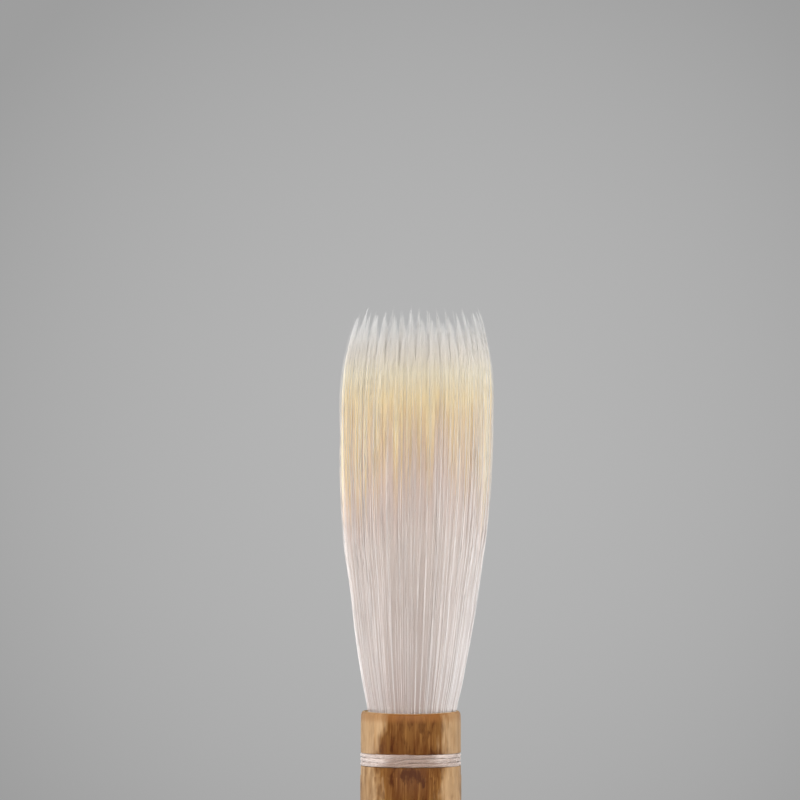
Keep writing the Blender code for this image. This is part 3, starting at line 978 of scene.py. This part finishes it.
@dataclass
class Tuft:
    """The hair: a bed that holds its bulk and the hairs over and above it.

    Attributes:
        length: From the lip to the edge of the blunt end.
        lip_radius: Radius of the hair at the lip.
        swell: The most that the outline stands out past that.
        outline: Share of the length, and share of the swell.
        lean: How far the tip leans to +X.
        offset: How far the whole tuft sits to +X.
        neck_half: Half of the height over which the neck bends.
        waist_half: Half of the height over which the waist bends.
        bed_share: Radius of the bed, as a share of the outline's.
        neck_clearance: How much smaller the bed is where the neck bends, as a share of its radius.
        bed_top: Height of the bed's top, as a share of the length.
        thickness: Thickness of a hair.
        cover_layers: Pieces that the outer hairs are grown in.
        cover_count: Hairs in each.
        outer_count: White hairs that lie loosely outside them.
        outer_thickness: Their thickness.
        core_layers: Pieces that the inner hairs' tips are grown in.
        core_count: Hairs in each.
    """

    datum: Datum
    length: float = 47.5 * MM
    lip_radius: float = 5.22 * MM
    swell: float = 3.90 * MM
    outline: Outline = (
        (0.0, 0.0),
        (0.105, 0.277),
        (0.295, 0.620),
        (0.485, 0.907),
        (0.675, 1.0),
        (0.80, 0.995),
        (0.905, 0.859),
        (1.0, 0.551),
    )
    lean: float = 0.76 * MM
    offset: float = 0.17 * MM
    neck_half: float = 5.5 * MM
    waist_half: float = 8.5 * MM
    bed_share: float = 0.945
    neck_clearance: float = 0.045
    bed_top: float = 0.80
    thickness: float = 0.060 * MM
    cover_layers: int = 4
    cover_count: int = 2450
    outer_count: int = 420
    outer_thickness: float = 0.045 * MM
    core_layers: int = 4
    core_count: int = 3950

    @property
    def cut(self) -> float:
        """Height of the level ring between the two stretches."""
        return (self.datum.neck + self.neck_half + self.datum.waist - self.waist_half) / 2

    def share(self, height: float) -> float:
        """A height as a share of the tuft's length."""
        return (height - self.datum.lip) / self.length

    def radius(self, share: np.ndarray) -> np.ndarray:
        """Outline radius at a share of the length, on a smooth curve."""
        places, sizes = np.array(self.outline).T
        fine = np.linspace(0, 1, 201)
        straight = np.interp(fine, places, sizes)
        kernel = np.hanning(17)
        padded = np.pad(straight, 8, mode="reflect", reflect_type="odd")
        smooth = np.convolve(padded, kernel / kernel.sum(), "valid")
        return self.lip_radius + self.swell * np.interp(share, fine, smooth)

    def bed_reshape(self, radii: np.ndarray, heights: np.ndarray, angles: np.ndarray) -> np.ndarray:
        """Gives the bed shallow upright locks."""
        locks = ripple(angles, heights, 21, 70, 400 * MM) * 0.03 * MM
        return radii + locks * np.clip((radii - 3 * MM) / (2 * MM), 0, 1)

    def bed(self, name: str, low: float, high: float, material: Material) -> Piece:
        """A stretch of the bed.

        Args:
            name: The piece's name.
            low: Its lower height.
            high: Its upper height.
            material: The hair's finish.

        Returns:
            The piece, its bake map in the hair's own terms.
        """
        heights = np.linspace(low, high, 28)
        shares = (heights - self.datum.lip) / self.length
        clear = np.clip((self.share(self.cut) - shares) / 0.08, 0.0, 1.0)
        shrunk = self.bed_share * (1 - self.neck_clearance * clear * clear * (3 - 2 * clear))
        sides = [(float(r), float(h)) for r, h in zip(self.radius(shares) * shrunk, heights)]
        if low < self.datum.lip:
            sunk = self.lip_radius - 0.55 * MM
            sides = [(min(r, sunk), h) if h < self.datum.lip else (r, h) for r, h in sides]
        crown = []
        if high > self.cut:
            edge = sides[-1][0]
            angles = np.radians((18, 36, 54, 72, 84))
            crown = [(edge * math.cos(a), high + 1.6 * MM * math.sin(a)) for a in angles]
        outline = [(0.0, low), *sides, *crown, (0.0, high + (1.6 * MM if crown else 0.0))]
        bed = turned(name, outline, 144, material, self.bed_reshape)
        layer = bed.data.uv_layers[BAKE_MAP].data
        for loop in bed.data.loops:
            point = bed.data.vertices[loop.vertex_index].co
            turn = layer[loop.index].uv[0]
            layer[loop.index].uv = (turn, self.bake_height(self.share(point.z)))
        for point in bed.data.vertices:
            point.co.x += self.offset + self.lean * max(self.share(point.co.z), 0.0)
        return bed

    @staticmethod
    def bake_height(share: Any) -> Any:
        """Where a share of the length lies in the bake map."""
        return share * 0.92 + 0.06

    def tree(self) -> bpy.types.NodeTree:
        """Grows tapering hairs from the lip to the blunt end.

        Each hair keeps its own place across the tuft. It leans on its lock's middle all the way up, and near
        its end on its tuftlet's middle, so that the blunt end breaks into small points.
        """
        net, given = new_tree(
            "hairs",
            {
                "Count": 4000,
                "Seed": 1,
                "Inner": 0.9,
                "Outer": 1.0,
                "From": 0.0,
                "To": 1.2,
                "Segments": 14,
                "Lip Height": 0.0,
                "Length": self.length,
                "Lip Radius": self.lip_radius,
                "Swell": self.swell,
                "Lean": self.lean,
                "Offset": self.offset,
                "Thickness": self.thickness,
                "Tip Thickness": 0.15,
                "Locks": 17.0,
                "Tuftlets": 7.4,
                "Tuftlet Start": 0.85,
                "Pull": 0.93,
                "Ragged": 0.05,
                "Spread": 0.15,
                "Wander": 0.010,
                "Drift": 0.008,
                "Stray": 0.018,
                "Flank": 0.13,
            },
        )
        points = self.roots(net, given)
        line = net.add("GeometryNodeCurvePrimitiveLine", {"Start": (0, 0, 0), "End": (0, 0, 1)})
        count = given["Segments"] + 1
        line = net.add("GeometryNodeResampleCurve", {"Curve": line, "Count": count})
        hairs = net.add("GeometryNodeInstanceOnPoints", {"Points": points, "Instance": line})
        hairs = net.shape("RealizeInstances", hairs)
        reach = net.math("MINIMUM", given["To"], net.named("reach"))
        along = net.add("GeometryNodeSplineParameter", out="Factor")
        rise = (reach - given["From"]) * along
        hairs = net.stored(hairs, "along", along)
        hairs = net.stored(hairs, "share", given["From"] + rise)
        hairs = net.shape("SetPosition", hairs, Position=self.course(net, given))
        taper = net.named("share") / net.named("reach")
        taper = net.ease(taper, 0.74, 1.0, 1.0, given["Tip Thickness"])
        half = given["Thickness"] * 0.5 * taper
        section = net.add("GeometryNodeCurvePrimitiveCircle", {"Resolution": 3, "Radius": 1.0})
        feeds = {"Curve": hairs, "Profile Curve": section, "Scale": half, "Fill Caps": True}
        mesh = net.add("GeometryNodeCurveToMesh", feeds)
        own = net.named("own") * 0.3
        lock = net.named("lock") * 0.7 + own
        share = net.named("share")
        height = self.bake_height(share)
        across, _, _ = net.parts(net.named("place", "FLOAT_VECTOR"))
        sideways = net.math("ABSOLUTE", across)**2.0 * given["Flank"]
        middle = net.ease(share, 0.30, 0.50) * net.ease(share, 0.76, 0.58)
        height = sideways * middle + height
        mesh = net.stored(mesh, BAKE_MAP, net.join(lock, height), "FLOAT2", "CORNER")
        mesh = net.shape("SetShadeSmooth", mesh)
        middle = net.math("ABSOLUTE", net.named("along") - 0.5)
        capped = net.math("GREATER_THAN", middle, 0.4999)
        ends = {"Geometry": mesh, "Selection": capped, "Shade Smooth": False}
        mesh = net.add("GeometryNodeSetShadeSmooth", ends, domain="EDGE")
        return end_tree(net, mesh, given["Material"])

    def roots(self, net: Wiring, given: Mapping[str, Field]) -> Field:
        """Scatters the hairs' places across the tuft, as points that know their lock, tuftlet and reach."""
        index = net.add("GeometryNodeInputIndex")

        def drawn(salt: int, low: Any, high: Any) -> Field:
            """A random number for each hair."""
            seed = given["Seed"] + salt
            feeds = {"Min": low, "Max": high, "ID": index, "Seed": seed}
            return net.add("FunctionNodeRandomValue", feeds, data_type="FLOAT")

        angle = drawn(101, 0.0, math.tau)
        inner = given["Inner"]**2.0
        outer = given["Outer"]**2.0
        across = net.math("SQRT", drawn(202, inner, outer))
        x = across * net.math("COSINE", angle)
        y = across * net.math("SINE", angle)
        place = net.join(x, y)
        cells = {"Vector": place, "Scale": given["Locks"], "Randomness": 1.0}
        lock = net.add("ShaderNodeTexVoronoi", cells, out="Position", voronoi_dimensions="2D")
        cells = {"Vector": place, "Scale": given["Tuftlets"], "Randomness": 0.85}
        tuftlet = net.add("ShaderNodeTexVoronoi", cells, out="Position", voronoi_dimensions="2D")
        off = net.vector("LENGTH", tuftlet, out="Value")
        inward = net.math("MINIMUM", 1.0, 0.95 / net.math("MAXIMUM", off, 0.01))
        centre = net.vector("SCALE", tuftlet, inward)
        lock_tone, _, _ = net.parts(lock.beside("Color"))
        tuftlet_tone, _, _ = net.parts(tuftlet.beside("Color"))
        astray = net.vector("DISTANCE", place, centre, out="Value")
        own = drawn(303, 0.0, 1.0)
        lost = given["Ragged"] * tuftlet_tone
        lost = lost + own**0.8 * given["Spread"] + astray * 0.25
        reach = 1.012 - lost
        points = net.add("GeometryNodePoints", {"Count": given["Count"]})
        vectors = {"place": place, "middle": lock, "centre": centre, "drift": lock.beside("Color")}
        for name, value in vectors.items():
            points = net.stored(points, name, value, "FLOAT_VECTOR")
        for name, value in {"lock": lock_tone, "own": own, "reach": reach}.items():
            points = net.stored(points, name, value)
        return points

    def course(self, net: Wiring, given: Mapping[str, Field]) -> Field:
        """Where each point of each hair lies."""
        share = net.named("share")
        place = net.named("place", "FLOAT_VECTOR")
        free = net.ease(share, 0.0, 0.35)
        huddle = free * 0.03 + net.ease(share, 0.88, 1.0, 0.0, 0.25)
        across = net.blend(huddle, place, net.named("middle", "FLOAT_VECTOR"), "VECTOR")
        eager = net.named("own") * -0.8 + 1.0
        pull = net.ease(share, given["Tuftlet Start"], 1.02, 0.0, given["Pull"] * eager)
        across = net.blend(pull, across, net.named("centre", "FLOAT_VECTOR"), "VECTOR")
        x, y, _ = net.parts(place)
        shared = net.noise(net.join(x, y, share * 0.9), 6.0, 2.0, "Color") - (0.5, 0.5, 0.5)
        shared = net.vector("SCALE", shared, given["Wander"] * free)
        single = net.join(net.named("own") * 97.0, share * 3.0)
        alone = net.noise(single, 1.0, 1.0, "Color") - (0.5, 0.5, 0.5)
        alone = net.vector("SCALE", alone, given["Stray"] * free)
        drift = net.named("drift", "FLOAT_VECTOR") - (0.5, 0.5, 0.5)
        swung = net.math("SINE", share * 5.0 + net.named("lock") * 9.0)
        drift = net.vector("SCALE", drift, given["Drift"] * (swung * free))
        across = across + (drift + (shared + alone))
        x, y, _ = net.parts(across)
        curve = net.add("ShaderNodeFloatCurve", {"Value": share})
        self.shape_curve(curve.socket.node)
        radius = given["Lip Radius"] + given["Swell"] * curve
        tucked = net.math("MINIMUM", share, 0.0) * (2.6 * MM)
        radius = radius + tucked
        leaning = given["Lean"] * net.math("MAXIMUM", share, 0.0) + given["Offset"]
        x = x * radius + leaning
        y = y * radius
        height = share * given["Length"] + given["Lip Height"]
        return net.join(x, y, height)

    def shape_curve(self, node: bpy.types.Node) -> None:
        """Gives a Float Curve the tuft's outline."""
        curve = node.mapping.curves[0]
        while len(curve.points) < len(self.outline):
            curve.points.new(0.5, 0.5)
        for point, (share, size) in zip(curve.points, self.outline):
            point.location = (share, size)
            point.handle_type = "AUTO"
        node.mapping.update()

    def hairs(
        self, tree: bpy.types.NodeTree, name: str, sizes: Mapping[str, Any], material: Material
    ) -> Piece:
        """One layer of hairs in one stretch."""
        shape = {"Lip Height": self.datum.lip, "Material": material, **sizes}
        mesh = grown(tree, name, shape, bpy.data.meshes.new(f"{name}_start"))
        log.info("%s: %d faces", name, len(mesh.polygons))
        return link(name, mesh, material)

    def build(self) -> None:
        """Makes the beds and the hairs, and bakes their placement into their meshes."""
        cream = HairFinish("goat_hair").material()
        white = HairFinish("white_goat_hair", stops=WHITE_STOPS).material()
        tree = self.tree()
        lip, cut = self.datum.lip, self.cut
        ring = self.share(cut)
        root = self.share(lip - 2.5 * MM)
        low_bed = self.bed("hair_bed_waist", lip - 2.5 * MM, cut, cream)
        high_bed = self.bed("hair_bed_tip", cut, lip + self.length * self.bed_top, cream)
        low, high = [low_bed], [high_bed]
        below = {"From": root, "To": ring, "Segments": 6}
        above = {"From": ring, "Segments": 13}
        for layer in range(self.cover_layers):
            sizes = {"Seed": 11 + layer, "Count": self.cover_count, "Inner": self.bed_share, "Outer": 0.965}
            low.append(self.hairs(tree, f"cover_hairs_waist_{layer + 1}", sizes | below, cream))
            high.append(self.hairs(tree, f"cover_hairs_tip_{layer + 1}", sizes | above, cream))
        loose = {"Seed": 51, "Count": self.outer_count, "Inner": 0.960, "Outer": 0.98}
        loose |= {"Stray": 0.09, "Pull": 0.7, "Thickness": self.outer_thickness}
        low.append(self.hairs(tree, "outer_hairs_waist", loose | below | {"Segments": 8}, white))
        high.append(self.hairs(tree, "outer_hairs_tip", loose | above | {"Segments": 22}, white))
        for layer in range(self.core_layers):
            sizes = {"Seed": 31 + layer, "Count": self.core_count, "Inner": 0.0, "Outer": self.bed_share}
            inner = {"From": self.bed_top - 0.05, "Segments": 6}
            high.append(self.hairs(tree, f"core_hairs_tip_{layer + 1}", sizes | inner, cream))
        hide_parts("core_hair_root", "core_hair_waist")
        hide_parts("core_hair_tip")
        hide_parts("cover_hair_root", "cover_hair_waist")
        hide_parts("cover_hair_tip")
        for piece in (*low, *high):
            inside = piece in (low_bed, high_bed) or piece.name.startswith("core")
        self.bend(low, Body.HANDLE, Body.WAIST, self.datum.neck, self.neck_half)
        self.bend(high, Body.WAIST, Body.TIP, self.datum.waist, self.waist_half)

    @staticmethod
    def bend(pieces: Sequence[Piece], below: Body, above: Body, pivot: float, half: float) -> None:
        """Bakes each piece's placement into its mesh."""
        for piece in pieces:
            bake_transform(piece)


@dataclass
class Hidden:
    """The pieces inside the socket, which keep the frame's own shapes."""

    def build(self) -> None:
        """Dresses them."""
        glue = {"deep": srgb(120, 74, 30), "light": srgb(186, 130, 66)}
        glue |= {"roughness": 0.28, "coat": 0.3, "grain": 1.2 * MM}
        ash = {"roughness": 0.75, "grain": 0.12 * MM}
        hemp = {"roughness": 0.8, "sheen": 0.2, "grain": 0.1 * MM}
        finishes = {
            "socket_glue": CloudyFinish("hide_glue", **glue),
            "seared_root": CloudyFinish("seared_ends", deep=srgb(24, 18, 15), light=srgb(70, 54, 42), **ash),
            "root_tie": CloudyFinish("hemp_tie", deep=srgb(132, 112, 82), light=srgb(190, 170, 134), **hemp),
        }
        for node, finish in finishes.items():
            solid = frame["nodes"][node]
            for place in solid.material_slots:
                place.material = finish.material()
            log.info("dressed %s", node)


@dataclass
class Studio:
    """Floor, light, backdrop tone and camera."""

    datum: Datum
    distance: float = 760.0 * MM
    lens: float = 290.6
    rise: float = 36.7 * MM
    aside: float = -1.25 * MM

    def floor(self) -> None:
        """A pale round table top."""
        finish = CloudyFinish(
            "pale_table", roughness=0.6, deep=srgb(158, 157, 156), light=srgb(162, 161, 160), grain=30 * MM
        )
        low, high, radius = -6 * MM, -0.05 * MM, 900 * MM
        outline = [(0.0, low), (radius, low), (radius, high), (0.0, high)]
        turned("table_top", outline, 96, finish.material())

    def light(
        self, name: str, place: Vector, size: tuple[float, float], power: float, colour: Colour = (1, 1, 1)
    ) -> None:
        """A soft box that faces the tuft.

        Args:
            name: The light's name.
            place: Its middle.
            size: Its width and height.
            power: In watts.
            colour: Its tint.
        """
        data = bpy.data.lights.new(name, "AREA")
        data.shape = "RECTANGLE"
        data.size, data.size_y = size
        data.energy = power
        data.color = colour
        lamp = bpy.data.objects.new(name, data)
        lamp.visible_camera = False
        lamp.location = place
        aim = Vector((0.0, 0.0, self.datum.lip)) - place
        lamp.rotation_euler = aim.to_track_quat("-Z", "Y").to_euler()
        bpy.context.collection.objects.link(lamp)

    def world(self) -> None:
        """An even grey surround, a little brighter behind the brush."""
        world = bpy.data.worlds.new("grey_surround")
        world.use_nodes = True
        net = Wiring(world.node_tree)
        back = world.node_tree.nodes["Background"]
        way = net.add("ShaderNodeTexCoord", out="Generated")
        facing = net.vector("DOT_PRODUCT", way, Vector((0.0046, 1.0, -0.0062)).normalized(), out="Value")
        away = (1.0 - facing) * 262.0
        greys = ((0.0, 181), (0.125, 178), (0.45, 171), (0.9, 160), (1.0, 158))
        tone = net.ramp(away, tuple((place, srgb(grey, grey, grey)) for place, grey in greys))
        seen = net.add("ShaderNodeLightPath", out="Is Camera Ray")
        shown = net.blend(seen, (0.67, 0.655, 0.64), tone)
        net.tree.links.new(shown.socket, back.inputs["Color"])
        bpy.context.scene.world = world

    def camera(self) -> None:
        """A long lens, level with the middle of what it frames."""
        data = bpy.data.cameras.new("camera")
        data.lens = self.lens
        data.clip_start, data.clip_end = 0.01, 20.0
        camera = bpy.data.objects.new("camera", data)
        camera.location = (self.aside, -self.distance, self.datum.lip + self.rise)
        camera.rotation_euler = (math.pi / 2, 0.0, 0.0)
        bpy.context.collection.objects.link(camera)
        bpy.context.scene.camera = camera

    def build(self) -> None:
        """Sets the whole studio up."""
        self.floor()
        cool = (0.92, 0.96, 1.0)
        self.light("left_box", Vector((-0.30, 0.03, 0.05)), (0.27, 0.16), 1.35, cool)
        self.light("right_box", Vector((0.30, 0.03, 0.05)), (0.27, 0.16), 0.84, cool)
        self.light("front_box", Vector((0.0, -0.55, self.datum.lip + 0.31)), (0.9, 0.6), 9.3)
        self.world()
        self.camera()
        view = bpy.context.scene.view_settings
        view.view_transform = "Standard"
        view.look = "None"


def main() -> None:
    """Builds the brush and its studio."""
    logging.basicConfig(level=logging.INFO, format="%(name)s: %(message)s")
    datum = Datum.read()
    Studio(datum).build()
    Culm(datum).build()
    Binding().build()
    EndCap().build()
    Hidden().build()
    Tuft(datum).build()


if __name__ == "__main__":
    main()
